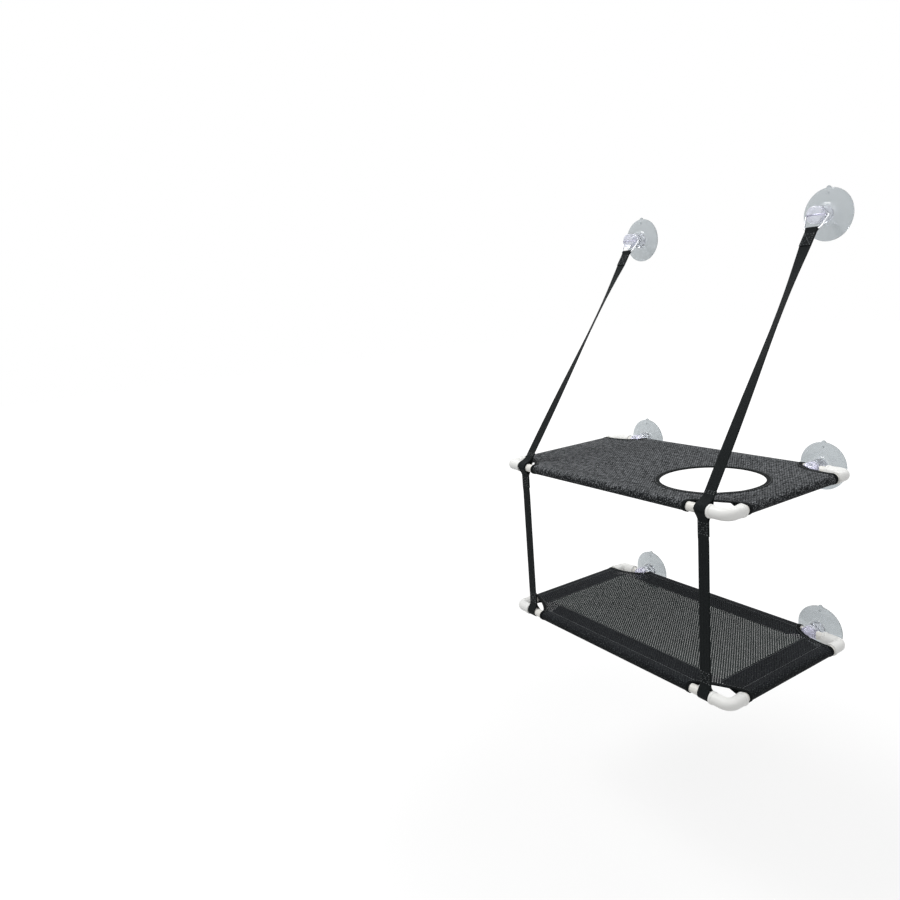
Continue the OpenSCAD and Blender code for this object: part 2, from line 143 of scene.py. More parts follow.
def makeMeshCloth(level):
    # Warp-knitted polyester mesh: dull charcoal yarn round staggered holes, which close up when seen
    # along the deck and let light through from above. The real holes are about 2 mm apart, drawn coarser,
    # at the spacing at which they read as rows.
    look = clothLooks[level]
    material, tree = startMaterial(f"knitted polyester mesh of the {level} deck")
    place = addNode(tree, "ShaderNodeUVMap", {"uv_map": "cut"})
    parts = addNode(tree, "ShaderNodeSeparateXYZ", None, {0: place.outputs[0]})

    def crossedWaves(spacing):
        waves = []
        for axis, step in zip(("X", "Y"), spacing):
            turn = addNode(tree, "ShaderNodeMath", {"operation": "MULTIPLY"},
                           {0: parts.outputs[axis], 1: 2 * math.pi / (step * mm)})
            waves.append(addNode(tree, "ShaderNodeMath", {"operation": "COSINE"}, {0: turn.outputs[0]}))
        return addNode(tree, "ShaderNodeMath", {"operation": "MULTIPLY"},
                       {0: waves[0].outputs[0], 1: waves[1].outputs[0]})

    knit = crossedWaves(mesh["holes"])
    loops = crossedWaves(mesh["loops"])
    yarn = addNode(tree, "ShaderNodeTexNoise", {"noise_dimensions": "2D"},
                   {"Vector": place.outputs[0], "Scale": mesh["yarnRate"], "Detail": 3})
    rough = addNode(tree, "ShaderNodeMath", {"operation": "MULTIPLY_ADD"},
                    {0: yarn.outputs["Fac"], 1: mesh["fray"], 2: -mesh["fray"] / 2})
    loose = addNode(tree, "ShaderNodeMath", {"operation": "ADD"}, {0: knit.outputs[0], 1: rough.outputs[0]})
    # round the rails the cloth is pulled tight and in the hems it lies double, so there the holes close
    insets = []
    for axis, middle, half in (("X", 0, sideX), ("Y", (frontY + windowY) / 2, deck["depth"] / 2)):
        moved = addNode(tree, "ShaderNodeMath", {"operation": "SUBTRACT"},
                        {0: parts.outputs[axis], 1: middle * mm})
        away = addNode(tree, "ShaderNodeMath", {"operation": "ABSOLUTE"}, {0: moved.outputs[0]})
        insets.append(addNode(tree, "ShaderNodeMath", {"operation": "SUBTRACT"},
                              {0: half * mm, 1: away.outputs[0]}))
    inset = addNode(tree, "ShaderNodeMath", {"operation": "MINIMUM"},
                    {0: insets[0].outputs[0], 1: insets[1].outputs[0]})
    flat = addNode(tree, "ShaderNodeMapRange", None,
                   {"Value": inset.outputs[0], "From Min": mesh["closedTo"] * mm, "From Max": mesh["openFrom"] * mm})
    # only on the crown of a sleeve does the white tube glint through
    fromCrown = addNode(tree, "ShaderNodeMath", {"operation": "ABSOLUTE"}, {0: inset.outputs[0]})
    crown = addNode(tree, "ShaderNodeMapRange", None,
                    {"Value": fromCrown.outputs[0], "From Min": 0.0, "From Max": mesh["crown"] * mm,
                     "To Min": mesh["crownOpen"], "To Max": 0.0})
    free = addNode(tree, "ShaderNodeMath", {"operation": "MAXIMUM"}, {0: flat.outputs[0], 1: crown.outputs[0]})
    gap = addNode(tree, "ShaderNodeMapRange", {"interpolation_type": "SMOOTHSTEP"},
                  {"Value": loose.outputs[0], "From Min": look["holeEdge"],
                   "From Max": look["holeEdge"] + mesh["edgeSoft"]})
    opened = addNode(tree, "ShaderNodeMath", {"operation": "MULTIPLY"}, {0: gap.outputs[0], 1: free.outputs[0]})
    hole = addNode(tree, "ShaderNodeMath", {"operation": "SUBTRACT"}, {0: 1.0, 1: opened.outputs[0]})
    # wide clouds, ridges between the holes, and the yarn's loops on them; painted shade: round the holes the colour
    # turns to the dark colour
    wide = addNode(tree, "ShaderNodeTexNoise", {"noise_dimensions": "2D"},
                   {"Vector": place.outputs[0], "Scale": mesh["cloudRate"], "Detail": 3})
    ridge = addNode(tree, "ShaderNodeMapRange", {"interpolation_type": "SMOOTHSTEP"},
                    {"Value": loose.outputs[0], "From Min": mesh["ridgeFrom"], "From Max": look["holeEdge"],
                     "To Min": look["ridge"], "To Max": 0.0})
    looped = addNode(tree, "ShaderNodeMath", {"operation": "MULTIPLY_ADD"},
                     {0: loops.outputs[0], 1: mesh["loopLift"], 2: ridge.outputs[0]})
    clouded = addNode(tree, "ShaderNodeMath", {"operation": "MULTIPLY_ADD"},
                      {0: wide.outputs["Fac"], 1: mesh["cloudLift"], 2: looped.outputs[0]})
    # painted glints: flecks, long along the deck, that lighten and darken the yarn
    stretched = addNode(tree, "ShaderNodeVectorMath", {"operation": "MULTIPLY"},
                        {0: place.outputs[0], 1: mesh["fleckRate"]})
    fleck = addNode(tree, "ShaderNodeTexNoise", {"noise_dimensions": "2D"},
                    {"Vector": stretched.outputs[0], "Scale": 1, "Detail": 2, "Roughness": 0.6})
    flecked = addNode(tree, "ShaderNodeMath", {"operation": "MULTIPLY_ADD"},
                      {0: fleck.outputs["Fac"], 1: look["fleck"], 2: clouded.outputs[0]})
    # painted shade: from just past a rail's crown, round its far side and underneath, the cloth is drawn darker
    ground = look["fleck"] / 2 + look["ground"]
    underShade = addNode(tree, "ShaderNodeMapRange", None,
                    {"Value": inset.outputs[0], "From Min": mesh["underShadeFrom"] * mm, "From Max": mesh["underShadeTo"] * mm,
                     "To Min": ground, "To Max": ground + mesh["underShadeDark"]})
    raised = addNode(tree, "ShaderNodeMath", {"operation": "SUBTRACT"},
                     {0: flecked.outputs[0], 1: underShade.outputs[0]})
    # painted light: where it lies single, the cloth is drawn lighter than over its hem, as if lit from behind through
    # the holes
    hem = deck["hem"][level]
    litShare = addNode(tree, "ShaderNodeMapRange", None,
                    {"Value": inset.outputs[0], "From Min": (hem - 1) * mm, "From Max": (hem + 1) * mm})
    strand = addNode(tree, "ShaderNodeMix", {"data_type": "RGBA"},
                     {"Factor": litShare.outputs[0], "A": toLinear(look["strand"]), "B": toLinear(look["litSingle"])})
    tone = addNode(tree, "ShaderNodeMix", {"data_type": "RGBA"},
                   {"Factor": raised.outputs[0], "A": toLinear(look["shadeAndDarkYarn"]), "B": strand.outputs["Result"]})
    # painted highlight: where the yarn's noise is highest, the colour turns to the glint colour
    shine = addNode(tree, "ShaderNodeMapRange", None,
                    {"Value": yarn.outputs["Fac"], "From Min": mesh["glintFrom"], "From Max": mesh["glintTo"]})
    colour = addNode(tree, "ShaderNodeMix", {"data_type": "RGBA"},
                     {"Factor": shine.outputs[0], "A": tone.outputs["Result"], "B": toLinear(look["glint"])})
    bump = addNode(tree, "ShaderNodeBump", None,
                   {"Height": loose.outputs[0], "Strength": 0.5, "Distance": mesh["relief"] * mm})
    finishMaterial(tree, {"Base Color": colour.outputs["Result"], "Roughness": 0.85, "Alpha": hole.outputs[0],
                          "Normal": bump.outputs[0], "Specular IOR Level": 0.08, "Sheen Weight": 0.03,
                          "Sheen Roughness": 0.5})
    return material


web = {"width": 22, "thick": 1.4, "rib": 1.5, "cord": 2.75, "fibreRate": 500, "relief": 0.25,
       "dark": "#090b0c", "light": "#24292a"}


def makeWebbing():
    # Woven polypropylene webbing: black ribs slanting to and fro over lengthwise cords, with a soft sheen
    material, tree = startMaterial("woven polypropylene webbing")
    place = addNode(tree, "ShaderNodeUVMap", {"uv_map": "cut"})
    parts = addNode(tree, "ShaderNodeSeparateXYZ", None, {0: place.outputs[0]})
    slope = addNode(tree, "ShaderNodeMath", {"operation": "PINGPONG"}, {0: parts.outputs["X"], 1: web["cord"] * mm})
    lean = addNode(tree, "ShaderNodeMath", {"operation": "ADD"}, {0: parts.outputs["Y"], 1: slope.outputs[0]})
    turn = addNode(tree, "ShaderNodeMath", {"operation": "MULTIPLY"},
                   {0: lean.outputs[0], 1: 2 * math.pi / (web["rib"] * mm)})
    ribs = addNode(tree, "ShaderNodeMath", {"operation": "SINE"}, {0: turn.outputs[0]})
    across = addNode(tree, "ShaderNodeMath", {"operation": "MULTIPLY"},
                     {0: parts.outputs["X"], 1: 2 * math.pi / (web["cord"] * mm)})
    cords = addNode(tree, "ShaderNodeMath", {"operation": "COSINE"}, {0: across.outputs[0]})
    weave = addNode(tree, "ShaderNodeMath", {"operation": "MULTIPLY_ADD"},
                    {0: cords.outputs[0], 1: 0.5, 2: ribs.outputs[0]})
    fibre = addNode(tree, "ShaderNodeTexNoise", {"noise_dimensions": "2D"},
                    {"Vector": place.outputs[0], "Scale": web["fibreRate"], "Detail": 3})
    # painted sheen: the weave's ribs and cords are drawn lighter where they stand, over the fibres' uneven tone
    uneven = addNode(tree, "ShaderNodeMath", {"operation": "MULTIPLY_ADD"},
                     {0: weave.outputs[0], 1: 0.2, 2: fibre.outputs["Fac"]})
    share = addNode(tree, "ShaderNodeMapRange", None,
                    {"Value": uneven.outputs[0], "From Min": 0.2, "From Max": 0.95})
    colour = addNode(tree, "ShaderNodeMix", {"data_type": "RGBA"},
                     {"Factor": share.outputs[0], "A": toLinear(web["dark"]), "B": toLinear(web["light"])})
    bump = addNode(tree, "ShaderNodeBump", None,
                   {"Height": weave.outputs[0], "Strength": 0.6, "Distance": web["relief"] * mm})
    finishMaterial(tree, {"Base Color": colour.outputs["Result"], "Roughness": 0.7, "Normal": bump.outputs[0],
                          "Specular IOR Level": 0.08, "Sheen Weight": 0.02, "Sheen Roughness": 0.4})
    return material


grained = {
    # woven: nearly black, finer and duller than the webbing, with a grain of 1.4 mm
    "polyester binding tape": {
        "rate": 700, "detail": 3, "dark": "#050707", "light": "#181b1d", "relief": 0.2,
        "finish": {"Roughness": 0.8, "Specular IOR Level": 0.06, "Sheen Weight": 0.02, "Sheen Roughness": 0.5}},
    # twisted: a round, slightly shiny charcoal yarn, its twist 0.7 mm
    "bonded nylon thread": {
        "rate": 1500, "detail": 1, "dark": "#44484a", "light": "#84888a", "finish": {"Roughness": 0.45}},
    # drawn and plated: bright, with a grain of 1.1 mm from the drawing, coarser than real so that it shows
    "nickel plated steel wire": {
        "rate": 900, "detail": 2, "dark": "#9a9c9f", "light": "#d3d4d6",
        "finish": {"Metallic": 1.0, "Roughness": 0.28}},
}


def makeGrained(name):
    look = grained[name]
    material, tree = startMaterial(name)
    place = addNode(tree, "ShaderNodeTexCoord")
    grain = addNode(tree, "ShaderNodeTexNoise", None,
                    {"Vector": place.outputs["Object"], "Scale": look["rate"], "Detail": look["detail"]})
    colour = addNode(tree, "ShaderNodeMix", {"data_type": "RGBA"},
                     {"Factor": grain.outputs["Fac"], "A": toLinear(look["dark"]), "B": toLinear(look["light"])})
    finish = {"Base Color": colour.outputs["Result"], **look["finish"]}
    if "relief" in look:
        bump = addNode(tree, "ShaderNodeBump", None,
                       {"Height": grain.outputs["Fac"], "Strength": 0.5, "Distance": look["relief"] * mm})
        finish["Normal"] = bump.outputs[0]
    finishMaterial(tree, finish)
    return material


# clouds of 110 mm, dulled patches of 17 mm and a grain of 2.2 mm, coarser than real so that it shows
whitePvc = {"cloudRate": 9, "wearRate": 60, "grainRate": 450, "handled": 0.14, "relief": 0.1}


def makeWhitePlastic(name, light, shade, roughness):
    # Extruded and moulded white PVC: smooth, slightly glossy, with faint clouding and handling dullness
    material, tree = startMaterial(name)
    place = addNode(tree, "ShaderNodeTexCoord")
    cloud = addNode(tree, "ShaderNodeTexNoise", None,
                    {"Vector": place.outputs["Object"], "Scale": whitePvc["cloudRate"], "Detail": 4})
    colour = addNode(tree, "ShaderNodeMix", {"data_type": "RGBA"},
                     {"Factor": cloud.outputs["Fac"], "A": toLinear(shade), "B": toLinear(light)})
    wear = addNode(tree, "ShaderNodeTexNoise", None,
                   {"Vector": place.outputs["Object"], "Scale": whitePvc["wearRate"], "Detail": 5})
    gloss = addNode(tree, "ShaderNodeMapRange", None,
                    {"Value": wear.outputs["Fac"], "From Min": 0.3, "From Max": 0.7,
                     "To Min": roughness, "To Max": roughness + whitePvc["handled"]})
    grain = addNode(tree, "ShaderNodeTexNoise", None,
                    {"Vector": place.outputs["Object"], "Scale": whitePvc["grainRate"], "Detail": 2})
    bump = addNode(tree, "ShaderNodeBump", None,
                   {"Height": grain.outputs["Fac"], "Strength": 0.12, "Distance": whitePvc["relief"] * mm})
    finishMaterial(tree, {"Base Color": colour.outputs["Result"], "Roughness": gloss.outputs[0],
                          "Normal": bump.outputs[0]})
    return material


clearPvc = {"thin": "#c3c9cc", "thick": "#ececfb", "neckFrom": -34, "neckTo": -5,
            "cloudRate": 60, "haze": (0.06, 0.18), "relief": 0.2}


def makeClearPvc():
    # Soft clear PVC, moulded: it passes most light with a grey-blue cast, violet where the neck is thick; the neck is
    # also drawn lighter, a painted highlight
    material, tree = startMaterial("soft clear PVC")
    place = addNode(tree, "ShaderNodeTexCoord")
    parts = addNode(tree, "ShaderNodeSeparateXYZ", None, {0: place.outputs["Object"]})
    # the neck's colour: the violet tint of thick PVC, and in its lightness a painted highlight
    thick = addNode(tree, "ShaderNodeMapRange", {"interpolation_type": "SMOOTHSTEP"},
                    {"Value": parts.outputs["Y"], "From Min": clearPvc["neckFrom"] * mm,
                     "From Max": clearPvc["neckTo"] * mm, "To Min": 1.0, "To Max": 0.0})
    colour = addNode(tree, "ShaderNodeMix", {"data_type": "RGBA"},
                     {"Factor": thick.outputs[0], "A": toLinear(clearPvc["thin"]), "B": toLinear(clearPvc["thick"])})
    cloud = addNode(tree, "ShaderNodeTexNoise", None,
                    {"Vector": place.outputs["Object"], "Scale": clearPvc["cloudRate"], "Detail": 3})
    haze = addNode(tree, "ShaderNodeMapRange", None,
                   {"Value": cloud.outputs["Fac"], "To Min": clearPvc["haze"][0], "To Max": clearPvc["haze"][1]})
    bump = addNode(tree, "ShaderNodeBump", None,
                   {"Height": cloud.outputs["Fac"], "Strength": 0.04, "Distance": clearPvc["relief"] * mm})
    finishMaterial(tree, {"Base Color": colour.outputs["Result"], "Roughness": haze.outputs[0],
                          "Transmission Weight": 0.8, "IOR": 1.45, "Normal": bump.outputs[0]})
    return material


clothMaterials = {level: makeMeshCloth(level) for level in levels}
webMaterial = makeWebbing()
tapeMaterial = makeGrained("polyester binding tape")
threadMaterial = makeGrained("bonded nylon thread")
tubeMaterial = makeWhitePlastic("extruded white PVC tube", "#f4f3ee", "#e9e7e0", 0.3)
elbowMaterial = makeWhitePlastic("moulded white PVC elbow", "#f8f8f6", "#eeeeeb", 0.36)
cupMaterial = makeClearPvc()
wireMaterial = makeGrained("nickel plated steel wire")
print("materials made")


def addPiece(name, shape, material, body):
    data = bpy.data.meshes.new(name)
    shape.to_mesh(data)
    shape.free()
    piece = bpy.data.objects.new(name, data)
    bpy.context.scene.collection.objects.link(piece)
    data.materials.clear()  # a CAD node's copy brings its faces' material numbers along
    data.materials.append(material)
    data.polygons.foreach_set("use_smooth", [True] * len(data.polygons))
    if body:
        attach(piece, body)
    return piece


shell = {"merge": 1e-6, "smoothTo": 38}  # metres and degrees


def smoothCopy(nodeName, material, body):
    # a CAD node's loose triangles, merged and shaded smooth up to an angle
    shape = bmesh.new()
    shape.from_mesh(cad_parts[nodeName].data)
    bmesh.ops.remove_doubles(shape, verts=shape.verts, dist=shell["merge"])
    sharp = math.radians(shell["smoothTo"])
    for edge in shape.edges:
        edge.smooth = len(edge.link_faces) == 2 and edge.calc_face_angle(0) < sharp
    piece = addPiece(nodeName + "_shell", shape, material, body)
    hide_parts(nodeName)


for sd in ("left", "right"):
    for level in ("top", "upper", "lower"):
        smoothCopy(f"cup_{level}_{sd}", cupMaterial, "glass_side")
    smoothCopy(f"bail_{sd}", wireMaterial, f"bail_{sd}")
for level in levels:
    for place in ("front", "window", "left", "right"):
        smoothCopy(f"{level}_{place}_rail", tubeMaterial, f"{level}_deck")
    for row in ("front", "window"):
        for sd in ("left", "right"):
            smoothCopy(f"{level}_elbow_{row}_{sd}", elbowMaterial, f"{level}_deck")
print("rigid pieces finished")


# The mesh covers, in millimetres. The tension folds fan out of each corner; the sag is in the middle.
cover = {
    "grid": 6.5, "clear": 0.55, "biteSteps": 26, "sleeveSteps": 14, "hemSteps": 8, "wall": 0.5,
    "folds": 11, "foldHigh": 0.5, "foldAt": 95, "foldWide": 38,
    "sag": 2.2, "slackFrom": 6, "slackOver": 60,
}
opening = {"x": 139, "y": frontY + 134, "radius": 90, "edge": 0.6}


def biteEdge(bite, steps):
    # from the long rail to the side rail, as distances inward from the corner of the rail axes
    long, short, roundness = bite
    power = 2 / roundness
    turns = [math.pi / 2 * i / steps for i in range(steps + 1)]
    return [(long * max(math.cos(a), 0) ** power, short * max(math.sin(a), 0) ** power) for a in turns]


def atCorner(point, sd, row):
    inX, inY = point
    x = sideX - inX if sd == "right" else inX - sideX
    y = frontY + inY if row == "front" else windowY - inY
    return x, y


def roundHole(outside, steps):
    # places round the climbing hole, each with its way outward
    ways = [(math.cos(2 * math.pi * i / steps), math.sin(2 * math.pi * i / steps)) for i in range(steps)]
    reach = opening["radius"] + outside
    return [((opening["x"] + reach * x, opening["y"] + reach * y), (x, y)) for x, y in ways]


def sleeveProfile(hem):
    # middle of the cloth from the top of the rail, round it and back up to the hem's seam:
    # (outward, height, run along the cloth)
    radius = deck["sleeveIn"] + deck["cloth"] / 2
    tip = (hem, deck["sleeveIn"] - deck["cloth"] * 0.45)
    end = math.atan2(tip[1], tip[0]) - math.acos(radius / math.hypot(*tip)) + 2 * math.pi
    points = []
    for i in range(cover["sleeveSteps"] + 1):
        a = math.pi / 2 + (end - math.pi / 2) * i / cover["sleeveSteps"]
        points.append((-radius * math.cos(a), radius * math.sin(a), radius * (a - math.pi / 2)))
    last = points[-1]
    length = math.hypot(tip[0] + last[0], tip[1] - last[1])
    for i in range(1, cover["hemSteps"] + 1):
        s = i / cover["hemSteps"]
        points.append((last[0] - (tip[0] + last[0]) * s, last[1] + (tip[1] - last[1]) * s, last[2] + length * s))
    return points


def inside(point, ring):
    x, y = point
    odd = False
    for (x0, y0), (x1, y1) in zip(ring, ring[1:] + ring[:1]):
        if (y0 > y) != (y1 > y) and x < (x1 - x0) * (y - y0) / (y1 - y0) + x0:
            odd = not odd
    return odd


def wrinkle(x, y):
    # faint tension folds that fan out of the cut corners, and a slack hand's breadth in the middle
    lift = 0
    for cornerX in (-sideX, sideX):
        for cornerY in (frontY, windowY):
            away = math.hypot(x - cornerX, y - cornerY)
            turn = math.atan2(abs(y - cornerY), abs(x - cornerX))
            fade = math.exp(-((away - cover["foldAt"]) / cover["foldWide"]) ** 2)
            lift += math.cos(turn * cover["folds"] + cornerX * 0.01) * fade
    edge = min(sideX - abs(x), y - frontY, windowY - y)
    slack = max(0, min(1, (edge - cover["slackFrom"]) / cover["slackOver"]))
    sag = -cover["sag"] * slack ** 0.7 * (1 - (x / sideX) ** 2 * 0.5)
    return cover["foldHigh"] * lift * slack + sag


def sheetHeight(x, y, level):
    return levels[level] + deck["sleeveIn"] + deck["cloth"] / 2 + wrinkle(x, y)


def pointsBetween(a, b):
    count = max(1, round(math.dist(a, b) / cover["grid"]))
    return [tuple(Vector(a).lerp(Vector(b), i / count)) for i in range(1, count)]


def deckOutline():
    ring = []
    for sd, row, flip in (("left", "front", True), ("right", "front", False),
                          ("right", "window", True), ("left", "window", False)):
        edge = [atCorner(p, sd, row) for p in biteEdge(deck[f"{row}Bite"], cover["biteSteps"])]
        if flip:
            edge.reverse()
        if ring:
            ring += pointsBetween(ring[-1], edge[0])
        ring += edge
    return ring + pointsBetween(ring[-1], ring[0])


def makeCover(level):
    step = cover["grid"]
    ring = deckOutline()
    rings = [ring]
    holed = level == "upper"
    holeMiddle, holeReach = (opening["x"], opening["y"]), opening["radius"] + opening["edge"]
    if holed:
        rings.append([spot for spot, way in roundHole(opening["edge"], 96)])
    points, edges = [], []
    for loop in rings:
        base = len(points)
        points += [Vector(p) for p in loop]
        edges += [(base + i, base + (i + 1) % len(loop)) for i in range(len(loop))]
    nx, ny = int(deck["span"] / step), int(deck["depth"] / step)
    for i in range(1, nx):
        for j in range(1, ny):
            p = (-sideX + deck["span"] * i / nx, frontY + deck["depth"] * j / ny)
            if min(math.dist(p, q) for q in ring) < step * cover["clear"] or not inside(p, ring):
                continue
            if holed and math.dist(p, holeMiddle) < holeReach + step * 0.5:
                continue
            points.append(Vector(p))
    spots, _, faces, _, _, _ = delaunay_2d_cdt(points, edges, [], 0, 1e-5)
    shape = bmesh.new()
    uvLayer = shape.loops.layers.uv.new("cut")
    cut = {}  # each vertex's place on the flat cloth
    verts = []
    for p in spots:
        vert = shape.verts.new((p.x * mm, p.y * mm, 0))
        cut[vert] = (p.x, p.y)
        verts.append(vert)
    for face in faces:
        mid = sum((spots[i] for i in face), Vector((0, 0))) / len(face)
        if inside(mid, ring) and not (holed and math.dist(mid, holeMiddle) < holeReach):
            shape.faces.new([verts[i] for i in face])
    for vert in [v for v in shape.verts if not v.link_faces]:
        shape.verts.remove(vert)
        del cut[vert]
    bmesh.ops.recalc_face_normals(shape, faces=shape.faces)
    for vert, (x, y) in cut.items():
        vert.co = Vector((x, y, sheetHeight(x, y, level))) * mm
    # sleeves round the rails, each with its hem sewn to the sheet's underside
    profile = sleeveProfile(deck["hem"][level])
    for axis, sign, edge in ((1, -1, frontY), (1, 1, windowY), (0, -1, -sideX), (0, 1, sideX)):
        row = sorted((p for p in ring if abs(p[axis] - edge) < 1e-6), key=lambda p: p[1 - axis])
        outX, outY = (0, sign) if axis else (sign, 0)
        grid = []
        for out, up, run in profile:
            line = []
            for x, y in row:
                vert = shape.verts.new(Vector((x + outX * out, y + outY * out, levels[level] + up)) * mm)
                cut[vert] = (x + outX * run, y + outY * run)
                line.append(vert)
            grid.append(line)
        for upper, lower in zip(grid, grid[1:]):
            for i in range(len(row) - 1):
                shape.faces.new((upper[i], upper[i + 1], lower[i + 1], lower[i]))
    flatArea = 0
    for face in shape.faces:
        for loop in face.loops:
            u, v = cut[loop.vert]
            loop[uvLayer].uv = (u * mm, v * mm)
        corners = [Vector(cut[v]) * mm for v in face.verts]
        flatArea += abs(sum(a.x * b.y - b.x * a.y for a, b in zip(corners, corners[1:] + corners[:1]))) / 2
    bmesh.ops.remove_doubles(shape, verts=shape.verts, dist=2e-6)
    bmesh.ops.recalc_face_normals(shape, faces=shape.faces)
    top = max(shape.faces, key=lambda f: abs(f.normal.z) * f.calc_area())
    if top.normal.z < 0:
        bmesh.ops.reverse_faces(shape, faces=shape.faces)
    piece = addPiece(f"{level}_mesh_cover", shape, clothMaterials[level], f"{level}_deck")
    wall = piece.modifiers.new("wall", "SOLIDIFY")
    wall.thickness = cover["wall"] * mm
    wall.offset = 0
    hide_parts(f"{level}_cover")
    size = [(deck[key] + 2 * profile[-1][2]) * mm for key in ("span", "depth")]
    return piece, size, flatArea


covers = {level: makeCover(level) for level in levels}
print("mesh covers made")


def neighbours(points, i):
    return points[max(i - 1, 0)], points[min(i + 1, len(points) - 1)]


def sweep(name, path, section, closed, material, body, runStart=0):
    # path: rows of (place, across, up); section: closed loop of (across, up) in millimetres
    shape = bmesh.new()
    uvLayer = shape.loops.layers.uv.new("cut")
    girth = [0]
    for a, b in zip(section, section[1:] + section[:1]):
        girth.append(girth[-1] + math.dist(a, b))
    run = [runStart]
    for a, b in zip(path, path[1:] + path[:1]):
        run.append(run[-1] + (Vector(b[0]) - Vector(a[0])).length)
    rows = [[shape.verts.new((Vector(p) + Vector(across) * a + Vector(up) * b) * mm) for a, b in section]
            for p, across, up in path]
    n = len(section)
    for i in range(len(path) if closed else len(path) - 1):
        lower, upper = rows[i], rows[(i + 1) % len(rows)]
        for k in range(n):
            face = shape.faces.new((lower[k], lower[(k + 1) % n], upper[(k + 1) % n], upper[k]))
            spots = ((girth[k], run[i]), (girth[k + 1], run[i]), (girth[k + 1], run[i + 1]), (girth[k], run[i + 1]))
            for loop, (u, v) in zip(face.loops, spots):
                loop[uvLayer].uv = (u * mm, v * mm)
    if not closed:
        for face in (shape.faces.new(rows[0][::-1]), shape.faces.new(rows[-1])):
            for edge in face.edges:
                edge.smooth = False
    bmesh.ops.recalc_face_normals(shape, faces=shape.faces)
    return addPiece(name, shape, material, body)


# Binding tape, in millimetres. Each kind has its width, and its width and thickness underneath.
tapeFold = {"thick": 0.6, "play": 0.05, "selvedge": 0.6, "bendSteps": 5, "mouthTo": 12, "cornerSteps": 40,
            "corner": (8, 4, 0.2), "mouth": (6, 4, 0.12), "hole": (9, 9, 0.6)}
# Where the seams run: in from a rail or an edge, and how proud of the cloth's middle they lie
seamPlaces = {"besideRail": 11, "hemIn": 2, "proud": 0.5, "tapeIn": 6.4, "tapeProud": 1.15, "holeOut": 7.6}


def foldSection(width, underWidth, underThick):
    # a tape folded over the cloth's edge, the fold at the origin and the cloth along +across;
    # underneath it is narrower and pressed flatter, so that it clears the rails
    play, thick, selvedge = (tapeFold[key] for key in ("play", "thick", "selvedge"))
    inner = deck["cloth"] / 2 + play
    outer, under = inner + thick, inner + underThick
    bend = []
    steps = tapeFold["bendSteps"]
    for i in range(-steps, steps + 1):
        a = math.pi / 2 * i / steps
        bend.append((outer * 0.55 * (1 - math.cos(a)) - thick, (outer if i > 0 else under) * math.sin(a)))
    return ([(underWidth, -inner * 1.02), (underWidth, -under * 0.95), (underWidth - selvedge, -under)] + bend
            + [(width - selvedge, outer), (width, outer * 0.8), (width, inner * 1.02), (play, inner), (play, -inner)])


def makeCornerTape(level, row, sd):
    edge = [atCorner(p, sd, row) for p in biteEdge(deck[f"{row}Bite"], tapeFold["cornerSteps"])]
    path, seam = [], []
    for i, p in enumerate(edge):
        before, after = neighbours(edge, i)
        way = (Vector(after) - Vector(before)).normalized()
        inward = Vector((way.y, -way.x))
        if inward.dot(Vector((0, (frontY + windowY) / 2)) - Vector(p)) < 0:
            inward = -inward
        height = sheetHeight(*p, level)
        sewn = Vector(p) + inward * seamPlaces["tapeIn"]
        path.append(((*p, height), (*inward, 0), (0, 0, 1)))
        seam.append(((*sewn, height + seamPlaces["tapeProud"]), (0, 0, 1)))
    tape = sweep(f"{level}_corner_tape_{row}_{sd}", path, foldSection(*tapeFold["corner"]), False,
                 tapeMaterial, f"{level}_deck")
    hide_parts(f"{level}_binding_{row}_{sd}")
    return tape, seam


def makeMouthTapes(level, row, sd):
    # the corner's tape runs on round the mouths of the two sleeves that end there
    bite = deck[f"{row}Bite"]
    cornerX, cornerY = atCorner((0, 0), sd, row)
    inX, inY = (-1 if sd == "right" else 1), (1 if row == "front" else -1)
    profile = [p for p in sleeveProfile(deck["hem"][level]) if p[0] > -tapeFold["mouthTo"]]
    tapes = []
    for kind, away, out, along in (("long", (bite[0] * inX, 0), (0, -inY), (inX, 0)),
                                   ("side", (0, bite[1] * inY), (-inX, 0), (0, inY))):
        path = []
        for i, (reach, up, _) in enumerate(profile):
            a, b = neighbours(profile, i)
            size = math.hypot(b[0] - a[0], b[1] - a[1])
            lift, side = -(b[0] - a[0]) / size, (b[1] - a[1]) / size
            place = (cornerX + away[0] + out[0] * reach, cornerY + away[1] + out[1] * reach, levels[level] + up)
            path.append((place, (*along, 0), (-out[0] * side, -out[1] * side, -lift)))
        tapes.append(sweep(f"{level}_mouth_tape_{row}_{sd}_{kind}", path, foldSection(*tapeFold["mouth"]), False,
                           tapeMaterial, f"{level}_deck"))
    return tapes


bindings = {level: [] for level in levels}
seams = {level: [] for level in levels}
for level in levels:
    for row in ("front", "window"):
        for sd in ("left", "right"):
            tape, seam = makeCornerTape(level, row, sd)
            seams[level].append(seam)
            bindings[level].append(tape)
            bindings[level] += makeMouthTapes(level, row, sd)

path = [((*spot, sheetHeight(*spot, "upper")), (*way, 0), (0, 0, 1))
        for spot, way in roundHole(opening["edge"], 120)]
holeTape = sweep("upper_hole_tape", path, foldSection(*tapeFold["hole"]), True,
                 tapeMaterial, "upper_deck")
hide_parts("upper_hole_binding")
bindings["upper"].append(holeTape)
print("bindings made")


# One stitch in millimetres, with its random lean in radians
stitch = {"Pitch": 4.2, "Length": 3.1, "Radius": 0.36, "Lean": 0.14, "Seed": 7}


